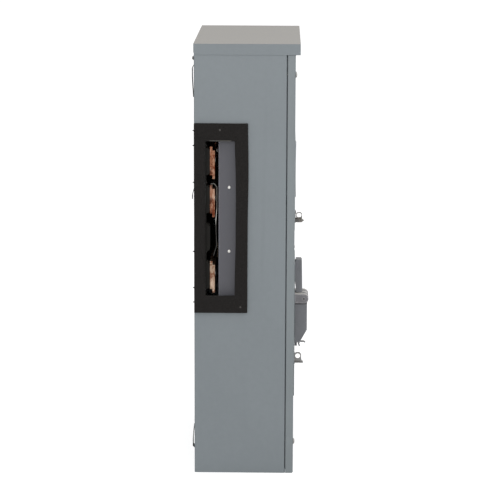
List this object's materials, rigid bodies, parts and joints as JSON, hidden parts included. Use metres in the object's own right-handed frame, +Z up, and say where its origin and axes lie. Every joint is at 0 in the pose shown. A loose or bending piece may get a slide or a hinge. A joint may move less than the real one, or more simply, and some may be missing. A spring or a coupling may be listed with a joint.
{
  "type": "meter socket enclosure",
  "caption": "Wall-mounted steel meter socket and main breaker enclosure with rain cap, ringless meter cover, raintight breaker lid and side bus openings, one gasketed.",
  "frame": {"origin": "middle of the outside face of the bottom panel, half way between the back wall and the cover seam", "axes": "+Z up, -Y out of the front cover, +Y towards the wall, +X to the right of someone who faces the cover; the gasketed bus opening is on the -X side"},
  "size_m": [0.57, 0.3157, 1.168],
  "materials": {
    "steel_paint": "light grey baked enamel, satin, very fine orange peel",
    "cap_paint": "light grey baked enamel, satin",
    "zinc_steel": "zinc plated steel, dull",
    "latch_steel": "plain plated steel, darkened",
    "bare_copper": "bare copper bar, lightly tarnished",
    "tinned_bar": "tin plated bar",
    "foam": "black closed cell foam",
    "black_moulding": "black glass polyester moulding",
    "barrier_paint": "dark grey baked enamel, satin",
    "film": "thin dark insulating film with a pale cut edge",
    "lid_plastic": "grey moulded weatherproof plastic"
  },
  "bodies": {
    "enclosure": {"body_wrap": "steel_paint", "top_panel": "steel_paint", "bottom_panel": "steel_paint", "rain_cap": "cap_paint", "wall_hangers": "steel_paint", "mid_tabs": "steel_paint", "foot_tabs": "steel_paint", "closing_plate": "steel_paint", "shell_screws": "zinc_steel", "support_screws": "zinc_steel", "side_gasket": "foam", "gasket_rivets": "zinc_steel", "bus_support_left": "black_moulding", "bus_support_right": "black_moulding", "line_bus_a": "bare_copper", "line_bus_b": "bare_copper", "neutral_bus": "tinned_bar", "joint_plates_left": "bare_copper", "joint_plates_right": "bare_copper", "neutral_joints": "tinned_bar", "bus_bolts": "zinc_steel", "barrier_film": "film", "barrier_left": "barrier_paint", "barrier_right": "barrier_paint", "barrier_screws": "zinc_steel", "interior_pan": "barrier_paint", "pan_rail_top": "zinc_steel", "pan_rail_bottom": "zinc_steel", "socket_base": "black_moulding", "base_screws": "zinc_steel", "line_jaw_a": "tinned_bar", "line_jaw_b": "tinned_bar", "load_jaw_a": "tinned_bar", "load_jaw_b": "tinned_bar", "jaw_screws": "zinc_steel", "riser_a": "bare_copper", "riser_b": "bare_copper", "load_strap_a": "bare_copper", "load_strap_b": "bare_copper", "main_breaker": "black_moulding", "load_lug_a": "tinned_bar", "load_lug_b": "tinned_bar", "lug_screws": "zinc_steel", "neutral_strap": "tinned_bar", "neutral_lug": "tinned_bar", "ground_bar": "tinned_bar"},
    "front_cover": {"front_cover": "steel_paint", "cover_screws": "zinc_steel"},
    "meter_cover": {"meter_cover": "steel_paint", "latch_base": "latch_steel"},
    "meter_latch": {"meter_latch": "latch_steel"},
    "breaker_cover": {"breaker_cover": "steel_paint", "guard_block": "lid_plastic", "guard_shield": "lid_plastic", "breaker_hasp": "latch_steel", "lid_hood": "lid_plastic", "lid_pin": "zinc_steel"},
    "breaker_lid": {"breaker_lid": "lid_plastic"},
    "breaker_handle": {"breaker_toggle": "black_moulding"}
  },
  "joints": [
    {"name": "front_cover_lift", "type": "slide", "parent": "enclosure", "child": "front_cover", "axis": [0, -1, 0], "range_m": [0, 0.25]},
    {"name": "meter_cover_lift", "type": "slide", "parent": "front_cover", "child": "meter_cover", "axis": [0, -1, 0], "range_m": [0, 0.12]},
    {"name": "meter_latch_swing", "type": "hinge", "parent": "meter_cover", "child": "meter_latch", "pos_m": [0, -0.1542, 0.6495], "axis": [1, 0, 0], "range_deg": [0, 90]},
    {"name": "breaker_cover_lift", "type": "slide", "parent": "front_cover", "child": "breaker_cover", "axis": [0, -1, 0], "range_m": [0, 0.12]},
    {"name": "breaker_lid_swing", "type": "hinge", "parent": "breaker_cover", "child": "breaker_lid", "pos_m": [0, -0.1733, 0.432], "axis": [-1, 0, 0], "range_deg": [0, 120]},
    {"name": "breaker_handle_throw", "type": "hinge", "parent": "enclosure", "child": "breaker_handle", "pos_m": [0, -0.121, 0.352], "axis": [1, 0, 0], "range_deg": [0, 36]}
  ]
}
